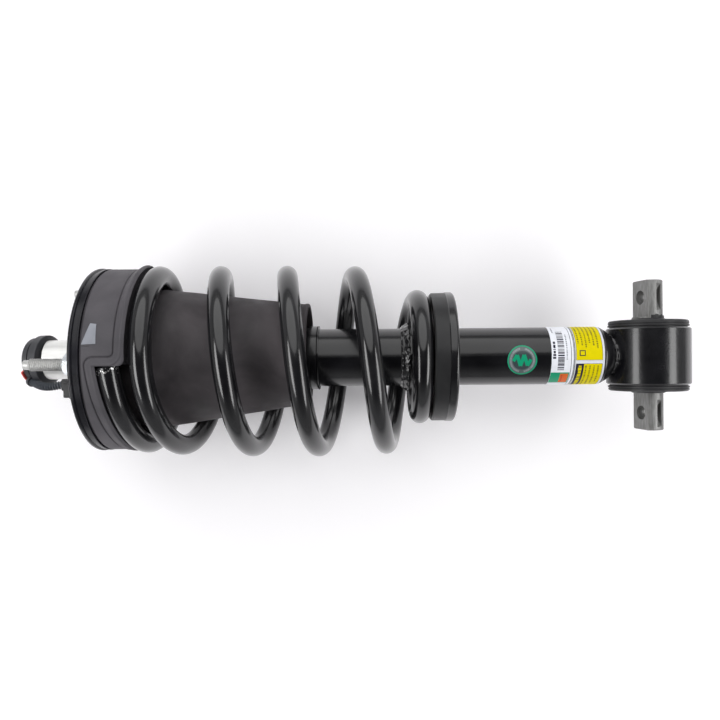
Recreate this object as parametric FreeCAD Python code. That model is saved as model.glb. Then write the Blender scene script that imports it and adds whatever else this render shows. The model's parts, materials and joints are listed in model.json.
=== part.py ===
"""Front coil-over strut with an electronically controlled damper.

The strut lies along X. The origin is the centre of the stud circle on the top mount's seating
face. +X runs from the top mount to the lower eye and +Z is up. Angles round the strut are
measured from +Y towards +Z, so 90 degrees is the top. Lengths are in millimetres.
"""
import FreeCAD, Part
import math
import os

# ---- driving dimensions ----------------------------------------------------------------

# top mount
PLATE_R = 80.2
PLATE_T = 3.0
RIM_DEPTH = 7.5
RIM_T = 2.6
ROLL_R = 2.2
ROLL_RISE = 1.6
ROLL_RAMP = 1.3
RIM_GROOVE = 1.2
CUP_BORE_R = 30.0
CUP_WALL = 3.0
CUP_DEPTH = 27.0
STUD_CIRCLE_R = 68.5
STUD_COUNT = 3
FIRST_STUD_ANGLE = 93.5
STUD_R = 5.0
STUD_PITCH_R = 4.51
STUD_REACH = 40.0
STUD_TIP_R = 3.8
STUD_TIP_LENGTH = 4.2
STUD_HEAD_R = 8.5
STUD_HEAD_T = 3.0
NUT_ACROSS_FLATS = 16.0
NUT_HEIGHT = 6.4

# rod, its top end and the electrical connector
ROD_R = 8.0
ROD_SPIGOT_R = 7.0
ROD_SHOULDER_X = 34.0
ROD_TOP_X = -20.0
ROD_LEAD_R = 2.0
CORE_R = 14.0
WASHER_R = 23.0
WASHER_T = 3.0
CORE_TOP_X = -3.0
SLEEVE_R = 17.4
SLEEVE_WALL = 2.0
SLEEVE_TOP_X = -50.0
CAP_MOUTH_X = -49.2
CAP_TILT = 9.6
CAP_DEPTH = 15.8
INSERT_END_X = -61.0
LOCK_R = 21.0
LOCK_WIDTH = 5.4
LOCK_GAP = 0.3
LOCK_START = 122.0
LOCK_SWEEP = 66.0

# dust tube and jounce bumper
DUST_TOP_X = 36.0
DUST_TOP_R = 63.2
DUST_END_X = 181.4
DUST_END_R = 44.0
DUST_WALL = 2.4
DUST_FIT = 0.8
DUST_END_SHIFT = 3.2
BUMPER_R = 23.0
BUMPER_BORE_R = 8.6

# damper
TUBE_R = 25.4
TUBE_WALL = 2.4
TUBE_TOP_X = 168.0
TUBE_END_X = 436.0
TOP_CAP_R = 28.2
TOP_CAP_X = 165.0
TOP_CAP_END_X = 190.0
TRAVEL = 80.0
BUMP_GAP = 0.5
RUNNING_GAP = 0.05
PISTON_X = 206.0
PISTON_LENGTH = 34.0
GAS_PISTON_X = 372.0
GAS_PISTON_LENGTH = 16.0

# coil spring: wire, and its centre line's radius and height at chosen angles
WIRE_R = 8.9
TAIL_COIL_R = 50.0
COIL_START = 94.0
COIL_END = 2146.0
SPRING_LENGTHS = 68
COIL_HEIGHTS = (
    (94, 28.2),
    (172, 40.0),
    (368, 51.5),
    (450, 54.4),
    (532, 70.2),
    (728, 105.0),
    (1170, 176.0),
    (1612, 248.4),
    (1808, 276.8),
    (1890, 278.0),
    (2150, 278.0),
)
COIL_RADII = (
    (94, 72.8),
    (450, 74.2),
    (1170, 75.5),
    (1500, 74.5),
    (1640, 74.5),
    (1820, TAIL_COIL_R),
    (2150, TAIL_COIL_R),
)
# the side load on the strut bows the coils this far towards -Y
COIL_BOW = ((94, 0.4), (450, 1.2), (1170, 3.0), (1500, 2.8), (1820, 0.0), (2150, 0.0))

# spring seats
ISOLATOR_R = 79.4
ISOLATOR_LIP_R = 82.8
ISOLATOR_NECK_R = 63.0
ISOLATOR_BORE_R = 60.0
SEAT_CLEARANCE = 0.15
LIFT_OFF_ANGLE = 350.0
LIFT_OFF = 3.6
LOWER_SEAT_R = 57.2
LOWER_RUBBER_R = 56.5
LOWER_RUBBER_X = 287.6
LOWER_PLATE_X = 300.0
LOWER_RIM_END_X = 307.6
SEAT_WELD_X = 262.0

# lower eye and bar pin
EYE_X = 482.1
EYE_R = 35.6
EYE_WALL = 4.6
EYE_LENGTH = 49.6
EYE_OFFSET = -0.9  # the housing sits this far along the pin from its middle
LIP_R = 34.0
LIP_REACH = (31.4, 30.4)  # on the -Y side and the +Y side
PIN_R = 13.35
PIN_LENGTH = 132.0
PIN_FLATS = 14.6
PIN_HOLE_R = 6.2
PIN_HOLE_SPACING = 102.0
PIN_TILT = 12.5
PIN_ROUND_HALF = 33.5
PIN_SLOT_LENGTH = 24.0
PIN_SLOT_WIDTH = 4.6
PIN_SLOT_DEPTH = 5.0

# labels
LABEL_T = 0.2
STICKER_X = 364.6
STICKER_R = 12.75
STICKER_LEAN = 8.7
LABEL_START = -20.0
LABEL_END = 200.0

# conduit from the connector cap to its plug on the mount face
CONDUIT_R = 3.6
CONDUIT_ROUTE = (
    (-63.5, -18.2, 8.0),
    (-54.5, -21.9, 14.4),
    (-45.5, -23.6, 18.0),
    (-36.5, -22.7, 18.9),
    (-28.5, -21.2, 18.4),
)
OUTLET_R = 4.6
OUTLET_LENGTH = 3.0
PLUG_X = -30.0
PLUG_CLEARANCE = 3.0
PATCH_CORNERS = ((15.5, 28.2), (20.3, 27.6), (21.0, 11.9), (9.8, 11.4))

AXIS_X = FreeCAD.Vector(1, 0, 0)
AXIS_Y = FreeCAD.Vector(0, 1, 0)
ORIGIN = FreeCAD.Vector(0, 0, 0)


# ---- helpers ---------------------------------------------------------------------------


def vector(x, y, z):
    return FreeCAD.Vector(x, y, z)


def radial(x, radius, angle):
    """The point at this height along the strut, radius and angle round it."""
    turn = math.radians(angle)
    return vector(x, radius * math.cos(turn), radius * math.sin(turn))


def profile_face(points):
    """A face in the X-Y half plane. A point of four values is an arc's end and its middle."""
    edges = []
    here = points[0]
    for there in list(points[1:]) + [points[0]]:
        start = vector(here[0], here[1], 0)
        end = vector(there[0], there[1], 0)
        if len(there) == 4:
            edges.append(Part.Arc(start, vector(there[2], there[3], 0), end).toShape())
        elif start.distanceToPoint(end) > 1e-6:
            edges.append(Part.LineSegment(start, end).toShape())
        here = there
    return Part.Face(Part.Wire(edges))


def turned(points):
    """A solid turned about the strut's axis from (x, radius) points."""
    return profile_face(points).revolve(ORIGIN, AXIS_X, 360)


def ring(x0, x1, inner, outer):
    """A plain ring, or a disc where inner is 0, between two heights."""
    disc = Part.makeCylinder(outer, x1 - x0, vector(x0, 0, 0), AXIS_X)
    if inner == 0:
        return disc
    return disc.cut(Part.makeCylinder(inner, x1 - x0, vector(x0, 0, 0), AXIS_X))


def chamfered_ring(x0, x1, inner, outer, chamfer):
    """A ring whose outer corners are chamfered."""
    return turned(
        [
            (x0, inner),
            (x0, outer - chamfer),
            (x0 + chamfer, outer),
            (x1 - chamfer, outer),
            (x1, outer - chamfer),
            (x1, inner),
        ]
    )


def hexagon(x0, x1, across_flats, bore, centre=(0, 0), corner_angle=0):
    """A hex nut along X with chamfered corners."""
    corner = across_flats / math.sqrt(3)
    points = []
    for side in range(7):
        turn = math.radians(corner_angle + 60 * side)
        points.append(vector(x0, corner * math.cos(turn), corner * math.sin(turn)))
    blank = Part.Face(Part.makePolygon(points)).extrude(vector(x1 - x0, 0, 0))
    rounder = turned(
        [
            (x0, 0),
            (x0, across_flats / 2),
            (x0 + 1.2, corner),
            (x1 - 1.2, corner),
            (x1, across_flats / 2),
            (x1, 0),
        ]
    )
    nut = blank.common(rounder).cut(ring(x0 - 1, x1 + 1, 0, bore))
    nut.translate(vector(0, centre[0], centre[1]))
    return nut


def along(table, angle):
    """A smooth value at an angle, from (angle, value) pairs."""
    last = len(table) - 1
    if angle <= table[0][0]:
        return table[0][1]
    if angle >= table[last][0]:
        return table[last][1]
    slopes = [(b[1] - a[1]) / (b[0] - a[0]) for a, b in zip(table, table[1:])]
    tangents = [slopes[0]]
    for before, after in zip(slopes, slopes[1:]):
        same_way = before * after > 0
        tangents.append(2 * before * after / (before + after) if same_way else 0.0)
    tangents.append(slopes[-1])
    at = max(i for i in range(last) if table[i][0] <= angle)
    span = table[at + 1][0] - table[at][0]
    t = (angle - table[at][0]) / span
    return (
        (2 * t**3 - 3 * t**2 + 1) * table[at][1]
        + (t**3 - 2 * t**2 + t) * span * tangents[at]
        + (3 * t**2 - 2 * t**3) * table[at + 1][1]
        + (t**3 - t**2) * span * tangents[at + 1]
    )


def rounded_path(route, share=0.45):
    """Straight runs joined by tangent arcs. Prints each arc's radius."""
    points = [vector(*p) for p in route]
    edges = []
    here = points[0]
    for before, corner, after in zip(points, points[1:], points[2:]):
        back = (before - corner).normalize()
        ahead = (after - corner).normalize()
        run = min(before.distanceToPoint(corner), after.distanceToPoint(corner))
        cut = share * run
        half = (math.pi - back.getAngle(ahead)) / 2
        start = corner + back * cut
        end = corner + ahead * cut
        radius = cut / math.tan(half)
        inward = (back + ahead).normalize()
        middle = corner + inward * (radius / math.cos(half) - radius)
        edges.append(Part.LineSegment(here, start).toShape())
        edges.append(Part.Arc(start, middle, end).toShape())
        print("conduit arc radius", round(radius, 1))
        here = end
    edges.append(Part.LineSegment(here, points[-1]).toShape())
    return Part.Wire(edges)


def tube_along(path, radius):
    """A solid round bar along a wire."""
    first = path.Edges[0]
    start = first.valueAt(first.FirstParameter)
    heading = first.tangentAt(first.FirstParameter)
    section = Part.Wire(Part.makeCircle(radius, start, heading))
    return path.makePipeShell([section], True, True)


def stud_centres():
    """(y, z) of each stud on its circle."""
    centres = []
    for index in range(STUD_COUNT):
        turn = math.radians(FIRST_STUD_ANGLE + index * 360.0 / STUD_COUNT)
        centres.append((STUD_CIRCLE_R * math.cos(turn), STUD_CIRCLE_R * math.sin(turn)))
    return centres


def patch(radius, x0, x1, angle0, angle1, thickness=LABEL_T):
    """A thin skin on a cylinder about the strut's axis."""
    face = profile_face([(x0, radius), (x0, radius + thickness), (x1, radius + thickness), (x1, radius)])
    face.rotate(ORIGIN, AXIS_X, angle0)
    return face.revolve(ORIGIN, AXIS_X, angle1 - angle0)


# ---- top mount -------------------------------------------------------------------------


def mount_plate():
    """Pressed plate with a rolled, grooved rim and a deep cup for the rubber bush."""
    rim_r = PLATE_R - RIM_T
    groove_r = PLATE_R - RIM_GROOVE
    roll_end = ROLL_R - ROLL_RISE
    roll_inset = ROLL_R * (1 - math.sqrt(0.5))
    plate = turned(
        [
            (0, CUP_BORE_R),
            (0, PLATE_R - ROLL_R - ROLL_RAMP),
            (-ROLL_RISE, PLATE_R - ROLL_R - 0.2),
            (-ROLL_RISE, PLATE_R - ROLL_R),
            (roll_end, PLATE_R, roll_inset - ROLL_RISE, PLATE_R - roll_inset),
            (roll_end + 1.0, PLATE_R),
            (roll_end + 1.6, groove_r),
            (RIM_DEPTH - 1.6, groove_r),
            (RIM_DEPTH - 1.1, PLATE_R - 0.4),
            (RIM_DEPTH - 0.2, PLATE_R - 0.4),
            (RIM_DEPTH, PLATE_R - 0.7),
            (RIM_DEPTH, rim_r),
            (PLATE_T, rim_r - 0.5),
            (PLATE_T, CUP_BORE_R + CUP_WALL + 3),
            (PLATE_T + 3, CUP_BORE_R + CUP_WALL),
            (CUP_DEPTH, CUP_BORE_R + CUP_WALL),
            (CUP_DEPTH, CUP_BORE_R),
        ]
    )
    for y, z in stud_centres():
        plate = plate.cut(Part.makeCylinder(STUD_R, PLATE_T + 2, vector(-1, y, z), AXIS_X))
    return plate


def mount_studs():
    """Three pressed-in studs with a plain dog point. The nut's stretch is at pitch radius."""
    thread_end = -STUD_REACH + STUD_TIP_LENGTH
    stud = turned(
        [
            (-STUD_REACH, 0),
            (-STUD_REACH, STUD_TIP_R - 0.8),
            (-STUD_REACH + 0.8, STUD_TIP_R),
            (thread_end, STUD_TIP_R),
            (thread_end + 1.2, STUD_R),
            (-NUT_HEIGHT, STUD_R),
            (-NUT_HEIGHT, STUD_PITCH_R),
            (0, STUD_PITCH_R),
            (0, STUD_R),
            (PLATE_T, STUD_R),
            (PLATE_T, STUD_HEAD_R),
            (PLATE_T + STUD_HEAD_T, STUD_HEAD_R),
            (PLATE_T + STUD_HEAD_T, 0),
        ]
    )
    studs = []
    for y, z in stud_centres():
        copy = stud.copy()
        copy.translate(vector(0, y, z))
        studs.append(copy)
    return Part.makeCompound(studs)


def stud_nuts():
    """Zinc hex nuts, run down to the mount face."""
    nuts = []
    for y, z in stud_centres():
        nuts.append(hexagon(-NUT_HEIGHT, 0, NUT_ACROSS_FLATS, STUD_PITCH_R, (y, z), 12))
    return Part.makeCompound(nuts)


def mount_bush():
    """Rubber bonded between the plate's cup and the steel core."""
    return turned(
        [
            (-1.0, CORE_R),
            (-2.4, CORE_R + 5, -2.1, CORE_R + 2.2),
            (0.6, CUP_BORE_R),
            (CUP_DEPTH - 2, CUP_BORE_R),
            (CUP_DEPTH + 2, CORE_R + 6, CUP_DEPTH + 0.6, CORE_R + 12),
            (CUP_DEPTH + 2, CORE_R),
        ]
    )


def mount_bush_core():
    """Steel sleeve that the rod's spigot passes through."""
    return ring(CORE_TOP_X, ROD_SHOULDER_X - WASHER_T, ROD_SPIGOT_R, CORE_R)


def bush_washers():
    """Dished washers above and below the bush."""
    upper = chamfered_ring(CORE_TOP_X - WASHER_T, CORE_TOP_X, ROD_SPIGOT_R, WASHER_R - 3, 0.6)
    lower = chamfered_ring(ROD_SHOULDER_X - WASHER_T, ROD_SHOULDER_X, ROD_SPIGOT_R, WASHER_R, 0.6)
    return Part.makeCompound([upper, lower])


def rod_nut():
    """Nut that clamps the rod to the bush core, inside the top sleeve."""
    top = CORE_TOP_X - WASHER_T
    return hexagon(top - 10, top, 22.0, ROD_SPIGOT_R)


def rod_top_sleeve():
    """Zinc-plated can that carries the connector above the mount."""
    bottom = CORE_TOP_X - WASHER_T
    inner = SLEEVE_R - SLEEVE_WALL
    return turned(
        [
            (bottom, inner),
            (bottom, SLEEVE_R),
            (SLEEVE_TOP_X, SLEEVE_R),
            (SLEEVE_TOP_X, 8.0),
            (SLEEVE_TOP_X + 2, 8.0),
            (SLEEVE_TOP_X + 2, inner),
        ]
    )


def tilted_with_cap(shape):
    """Places a shape made round the strut's axis, with its mouth at 0, on the cap's axis."""
    shape.translate(vector(CAP_MOUTH_X, 0, 0))
    shape.rotate(vector(CAP_MOUTH_X, 0, 0), AXIS_Y, -CAP_TILT)
    return shape


def conduit_run(start, length, radius):
    """A straight bar along the conduit's first run."""
    first, onward = vector(*CONDUIT_ROUTE[0]), vector(*CONDUIT_ROUTE[1])
    heading = (onward - first).normalize()
    return Part.makeCylinder(radius, length, first + heading * start, heading)


def connector_cap():
    """Moulded cap, tilted on the sleeve's end: a mouth ring, a groove, a collar and an outlet."""
    cap = tilted_with_cap(
        turned(
            [
                (0, 0),
                (0, 17.9),
                (-1.2, 21.3),
                (-2.0, 21.9, -1.5, 21.75),
                (-8.2, 21.7),
                (-8.9, 20.9),
                (-9.3, 18.4),
                (-9.7, 17.9),
                (-10.5, 17.9),
                (-10.9, 19.6),
                (1.2 - CAP_DEPTH, 19.6),
                (-CAP_DEPTH, 18.4, 0.4 - CAP_DEPTH, 19.2),
                (-CAP_DEPTH, 0),
            ]
        )
    )
    cap = cap.fuse(conduit_run(0, OUTLET_LENGTH, OUTLET_R)).removeSplitter()
    cap = cap.cut(ring(SLEEVE_TOP_X, -30.0, 0, SLEEVE_R))
    cap = cap.cut(ring(INSERT_END_X, SLEEVE_TOP_X, 0, 8.0))
    return cap.cut(conduit_run(0, 30, CONDUIT_R))


def connector_insert():
    """Terminal block inside the cap that reaches into the sleeve."""
    return turned(
        [
            (-40.0, 2.4),
            (-40.0, 7.0),
            (SLEEVE_TOP_X + 2.4, 7.4),
            (SLEEVE_TOP_X, 8.0),
            (INSERT_END_X, 8.0),
            (INSERT_END_X, 0),
            (-44.0, 0),
            (-44.0, 2.4),
        ]
    )


def connector_lock():
    """Lock slide on the cap's end, a narrow arc with a thumb edge."""
    start = -CAP_DEPTH - LOCK_GAP
    face = profile_face(
        [
            (start, LOCK_R - LOCK_WIDTH),
            (start, LOCK_R),
            (start - 1.0, LOCK_R),
            (start - 1.5, LOCK_R - 0.6),
            (start - 1.5, LOCK_R - LOCK_WIDTH),
        ]
    )
    face.rotate(ORIGIN, AXIS_X, LOCK_START)
    return tilted_with_cap(face.revolve(ORIGIN, AXIS_X, LOCK_SWEEP))


def conduit():
    """Corrugated lead cover, held between the cap's outlet and the plug."""
    path = rounded_path(CONDUIT_ROUTE)
    tube = tube_along(path, CONDUIT_R)
    whole = math.pi * CONDUIT_R**2 * path.Length
    print("conduit length", round(path.Length, 1), "volume share", round(tube.Volume / whole, 4))
    return tube


def rounded_box(low, high, radius):
    """A box between two corners, with its long edges along X rounded."""
    box = Part.makeBox(high[0] - low[0], high[1] - low[1], high[2] - low[2], vector(*low))
    along_x = [e for e in box.Edges if abs(e.Vertexes[0].X - e.Vertexes[1].X) > 1]
    return box.makeFillet(radius, along_x)


def harness_plug():
    """Plug parked against the mount face: a boot round the conduit, a body and a collar."""
    _, y, z = CONDUIT_ROUTE[-1]
    foot = -PLUG_CLEARANCE
    boot = rounded_box((PLUG_X, y - 5.6, z - 5.4), (PLUG_X + 5.0, y + 4.6, z + 5.4), 2.5)
    body = rounded_box((PLUG_X + 2.5, y - 11.6, z - 8.6), (foot, y + 1.6, z + 7.2), 2.0)
    collar = rounded_box((PLUG_X + 8.0, y - 12.6, z - 9.4), (PLUG_X + 11.0, y + 2.0, z + 8.2), 2.0)
    return body.fuse([boot, collar]).removeSplitter().cut(conduit())


def plug_clip():
    """Clip foot that holds the plug on the mount face."""
    _, y, z = CONDUIT_ROUTE[-1]
    return Part.makeBox(PLUG_CLEARANCE, 5.5, 12.0, vector(-PLUG_CLEARANCE, y - 14.8, z - 6.8))


def seat_height(angle):
    """The rubber seat's height under the top coil, which lifts off near the end of its turn."""
    lift = max(0.0, (angle - LIFT_OFF_ANGLE) / (COIL_START + 360.0 - LIFT_OFF_ANGLE))
    return along(COIL_HEIGHTS, angle) - WIRE_R - SEAT_CLEARANCE - LIFT_OFF * lift**1.5


def upper_isolator():
    """Rubber seat for the spring's top coil: a ring whose free face climbs one turn."""
    base_r = PLATE_R - RIM_T - 1.5
    floor = turned(
        [
            (PLATE_T, CUP_BORE_R + CUP_WALL + 3),
            (PLATE_T, base_r),
            (RIM_DEPTH + 0.4, base_r),
            (RIM_DEPTH + 0.4, CUP_BORE_R + CUP_WALL + 3),
        ]
    )
    sections = []
    count = 30
    for index in range(count + 1):
        angle = COIL_START + 360.0 * index / count - (0.4 if index == count else 0)
        seat = seat_height(angle)
        outline = [
            (RIM_DEPTH + 0.4, ISOLATOR_BORE_R),
            (RIM_DEPTH + 0.4, ISOLATOR_R),
            (seat - 8.5, ISOLATOR_R),
            (seat - 5.5, ISOLATOR_R + 1.2),
            (seat + 0.6, ISOLATOR_LIP_R),
            (seat + 1.8, ISOLATOR_LIP_R - 0.8),
            (seat + 0.4, ISOLATOR_LIP_R - 3.4),
            (seat, ISOLATOR_LIP_R - 5.2),
            (seat, ISOLATOR_NECK_R + 1.6),
            (seat + 4.0, ISOLATOR_NECK_R),
            (seat + 4.0, ISOLATOR_NECK_R - 1.4),
        ]
        points = [radial(x, r, angle) for x, r in outline]
        sections.append(Part.makePolygon(points + points[:1]))
    climb = Part.makeLoft(sections, True, True, False)
    body = climb.fuse(floor).removeSplitter()
    for y, z in stud_centres():
        pocket = Part.makeCylinder(STUD_HEAD_R, STUD_HEAD_T, vector(PLATE_T, y, z), AXIS_X)
        body = body.cut(pocket)
    return body


def maker_patch():
    """Plain grey stick-on patch on the rubber's side, cut to a slanted shape."""
    skin = patch(ISOLATOR_R, 5, 25, 50, 90, 0.3)
    corners = [vector(x, y, 0) for x, y in PATCH_CORNERS]
    outline = Part.Face(Part.makePolygon(corners + corners[:1]))
    return skin.common(outline.extrude(vector(0, 0, ISOLATOR_R + 5)))


def dust_skirt(inset):
    """The tapered length of the dust tube as a solid, its far end shifted towards +Y."""
    top_x = DUST_TOP_X - 8
    knee_x = DUST_TOP_X + 18
    slope = (DUST_END_R - DUST_TOP_R) / (DUST_END_X - DUST_TOP_X)
    knee_r = DUST_TOP_R + slope * (knee_x - DUST_TOP_X)
    steps = ((top_x, ISOLATOR_BORE_R - DUST_FIT), (knee_x, knee_r), (DUST_END_X, DUST_END_R))
    circles = []
    for x, radius in steps:
        shift = DUST_END_SHIFT * (x - top_x) / (DUST_END_X - top_x)
        circle = Part.makeCircle(radius - inset, vector(x, shift, 0), AXIS_X)
        circles.append(Part.Wire(circle))
    return Part.makeLoft(circles, True, True, False)


def dust_tube():
    """Tapered tube round the rod, held in the isolator's bore, where it leans a little."""
    inner = CUP_BORE_R + CUP_WALL + 0.9
    outer = ISOLATOR_BORE_R - DUST_FIT
    top_x = RIM_DEPTH + 0.8
    collar = ring(top_x, DUST_TOP_X - 8, outer - DUST_WALL, outer)
    flange = ring(top_x, top_x + DUST_WALL, inner, outer)
    skirt = dust_skirt(0).cut(dust_skirt(DUST_WALL))
    return skirt.fuse([collar, flange]).removeSplitter()


def bumper_cup():
    """Steel cup that grips the jounce bumper's top."""
    outer = BUMPER_R + 2.0
    end = ROD_SHOULDER_X + 16
    return turned(
        [
            (ROD_SHOULDER_X, ROD_R + 0.6),
            (ROD_SHOULDER_X, outer - 1.5),
            (ROD_SHOULDER_X + 1.5, outer),
            (end, outer),
            (end, BUMPER_R),
            (ROD_SHOULDER_X + 2, BUMPER_R),
            (ROD_SHOULDER_X + 2, ROD_R + 0.6),
        ]
    )


def jounce_bumper():
    """Foam bump stop with two waists, ending in a lip."""
    top = ROD_SHOULDER_X + 2
    end = TOP_CAP_X - TRAVEL - BUMP_GAP
    waist = BUMPER_R - 5
    return turned(
        [
            (top, BUMPER_BORE_R),
            (top, BUMPER_R),
            (top + 15, BUMPER_R),
            (top + 22, BUMPER_R - 1, top + 18.5, waist),
            (top + 28, BUMPER_R - 1, top + 25, BUMPER_R + 1),
            (top + 35, BUMPER_R - 3, top + 31.5, waist - 1),
            (end - 6, BUMPER_R - 4, end - 9, BUMPER_R - 1),
            (end, 15.0),
            (end, BUMPER_BORE_R),
        ]
    )


# ---- coil spring -----------------------------------------------------------------------


def coil_spring():
    """Wire wound right-handed about +X, with a dead turn at each end and a small tail coil.

    It is kept as short lengths laid end to end, each of them nearly straight.
    """
    count = SPRING_LENGTHS * 3
    points = []
    for index in range(count + 1):
        angle = COIL_START + (COIL_END - COIL_START) * index / count
        centre = radial(along(COIL_HEIGHTS, angle), along(COIL_RADII, angle), angle)
        points.append(centre - AXIS_Y * along(COIL_BOW, angle))
    curve = Part.BSplineCurve()
    curve.interpolate(points)
    stops = [curve.parameter(point) for point in points[::3]]
    lengths = []
    for start, end in zip(stops, stops[1:]):
        lengths.append(tube_along(Part.Wire(curve.toShape(start, end)), WIRE_R))
    wire = Part.makeCompound(lengths)
    whole = math.pi * WIRE_R**2 * curve.length()
    print("spring volume over section x length", round(wire.Volume / whole, 4), wire.isValid())
    return wire


# ---- rod and piston --------------------------------------------------------------------


def piston_rod():
    """Hollow rod: spigot at the mount, thread for the piston at the other end."""
    end = PISTON_X + PISTON_LENGTH
    rod = turned(
        [
            (ROD_TOP_X, ROD_LEAD_R),
            (ROD_TOP_X, ROD_SPIGOT_R - 1),
            (ROD_TOP_X + 1, ROD_SPIGOT_R),
            (ROD_SHOULDER_X, ROD_SPIGOT_R),
            (ROD_SHOULDER_X, ROD_R),
            (PISTON_X, ROD_R),
            (PISTON_X, ROD_SPIGOT_R),
            (end, ROD_SPIGOT_R),
            (end, ROD_LEAD_R),
        ]
    )
    return rod


def rod_lead():
    """Insulated lead down the rod to the piston's coil."""
    return ring(-44.0, PISTON_X + PISTON_LENGTH - 2, 0, ROD_LEAD_R - 0.2)


def piston():
    """Magnetic piston core with a winding groove, round the rod's end."""
    outer = TUBE_R - TUBE_WALL - 1.2
    mid = PISTON_X + PISTON_LENGTH / 2
    return turned(
        [
            (PISTON_X, ROD_SPIGOT_R),
            (PISTON_X, outer - 1),
            (PISTON_X + 1, outer),
            (mid - 8, outer),
            (mid - 8, outer - 6),
            (mid + 8, outer - 6),
            (mid + 8, outer),
            (PISTON_X + PISTON_LENGTH - 7, outer),
            (PISTON_X + PISTON_LENGTH - 6, outer - 1),
            (PISTON_X + PISTON_LENGTH - 6, ROD_SPIGOT_R),
        ]
    )


def piston_coil():
    """Winding in the piston's groove."""
    outer = TUBE_R - TUBE_WALL - 1.2
    mid = PISTON_X + PISTON_LENGTH / 2
    return ring(mid - 8, mid + 8, outer - 6, outer - 1.0)


def piston_rings():
    """Two slide bands that run in the tube's bore."""
    outer = TUBE_R - TUBE_WALL
    bands = []
    for start in (PISTON_X + 3, PISTON_X + PISTON_LENGTH - 10.5):
        bands.append(ring(start, start + 2.5, outer - 1.2, outer - RUNNING_GAP))
    return Part.makeCompound(bands)


def piston_nut():
    """Nut that clamps the piston on the rod."""
    end = PISTON_X + PISTON_LENGTH
    return hexagon(end - 6, end, 22.0, ROD_SPIGOT_R)


def rebound_stop():
    """Plastic stop on the rod, above the piston."""
    return chamfered_ring(PISTON_X - 9, PISTON_X - 0.2, ROD_R, 17.0, 1.2)


# ---- damper ----------------------------------------------------------------------------


def damper_tube():
    """Pressure tube."""
    return ring(TUBE_TOP_X, TUBE_END_X, TUBE_R - TUBE_WALL, TUBE_R)


def top_cap():
    """Steel cap pressed over the tube's top, the face that meets the jounce bumper."""
    return turned(
        [
            (TOP_CAP_X, ROD_R + 1.4),
            (TOP_CAP_X, TOP_CAP_R - 2.6),
            (TOP_CAP_X + 2.0, TOP_CAP_R - 0.4),
            (TOP_CAP_END_X - 1.6, TOP_CAP_R - 0.2),
            (TOP_CAP_END_X - 0.8, TOP_CAP_R + 0.2),
            (TOP_CAP_END_X, TOP_CAP_R),
            (TOP_CAP_END_X, TUBE_R),
            (TUBE_TOP_X, TUBE_R),
            (TUBE_TOP_X, ROD_R + 1.4),
        ]
    )


def rod_seal():
    """Lip seal and wiper round the rod."""
    return chamfered_ring(TUBE_TOP_X + 0.4, TUBE_TOP_X + 6, ROD_R + RUNNING_GAP, 17.0, 0.6)


def seal_carrier():
    """Steel ring that holds the seal."""
    return ring(TUBE_TOP_X + 0.4, TUBE_TOP_X + 6, 17.0, TUBE_R - TUBE_WALL)


def rod_guide():
    """Sintered guide with a bore for the rod."""
    return chamfered_ring(TUBE_TOP_X + 6, TUBE_TOP_X + 24, ROD_R + RUNNING_GAP, TUBE_R - TUBE_WALL, 0.8)


def gas_piston():
    """Floating piston between the fluid and the gas."""
    outer = TUBE_R - TUBE_WALL - RUNNING_GAP
    mid = GAS_PISTON_X + GAS_PISTON_LENGTH / 2
    return turned(
        [
            (GAS_PISTON_X, 0),
            (GAS_PISTON_X, outer - 1),
            (GAS_PISTON_X + 1, outer),
            (mid - 2, outer),
            (mid - 2, outer - 3),
            (mid + 2, outer - 3),
            (mid + 2, outer),
            (GAS_PISTON_X + GAS_PISTON_LENGTH, outer),
            (GAS_PISTON_X + GAS_PISTON_LENGTH, outer - 4),
            (GAS_PISTON_X + 5, outer - 6),
            (GAS_PISTON_X + 5, 0),
        ]
    )


def gas_piston_seal():
    """Seal ring in the floating piston's groove."""
    mid = GAS_PISTON_X + GAS_PISTON_LENGTH / 2
    outer = TUBE_R - TUBE_WALL
    return ring(mid - 1.8, mid + 1.8, outer - 3 - RUNNING_GAP, outer - 0.03)


def eye_saddle():
    """The space the lower eye's housing takes, for cutting what is welded to it."""
    return Part.makeCylinder(EYE_R, EYE_LENGTH, vector(EYE_X, -EYE_LENGTH / 2, 0), AXIS_Y)


def tube_base():
    """Forged end: a plug in the tube, a shoulder, a dome and a neck shaped to the eye."""
    bore = TUBE_R - TUBE_WALL
    base = turned(
        [
            (TUBE_END_X - 12, 0),
            (TUBE_END_X - 12, bore - 1),
            (TUBE_END_X - 11, bore),
            (TUBE_END_X, bore),
            (TUBE_END_X, TUBE_R - 0.3),
            (TUBE_END_X + 2.6, TUBE_R - 1.1, TUBE_END_X + 1.4, TUBE_R - 0.5),
            (TUBE_END_X + 12.2, 16.4, TUBE_END_X + 8.2, TUBE_R - 4.9),
            (TUBE_END_X + 14.6, 15.2),
            (TUBE_END_X + 22, 15.2),
            (TUBE_END_X + 22, 0),
        ]
    )
    return base.cut(eye_saddle())


def eye_weld():
    """Weld bead round the neck where it meets the eye."""
    bead = turned(
        [
            (TUBE_END_X + 13.0, 15.2),
            (TUBE_END_X + 19.0, 18.0, TUBE_END_X + 14.8, 18.2),
            (TUBE_END_X + 19.0, 15.2),
        ]
    )
    return bead.cut(eye_saddle()).cut(tube_base())


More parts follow.
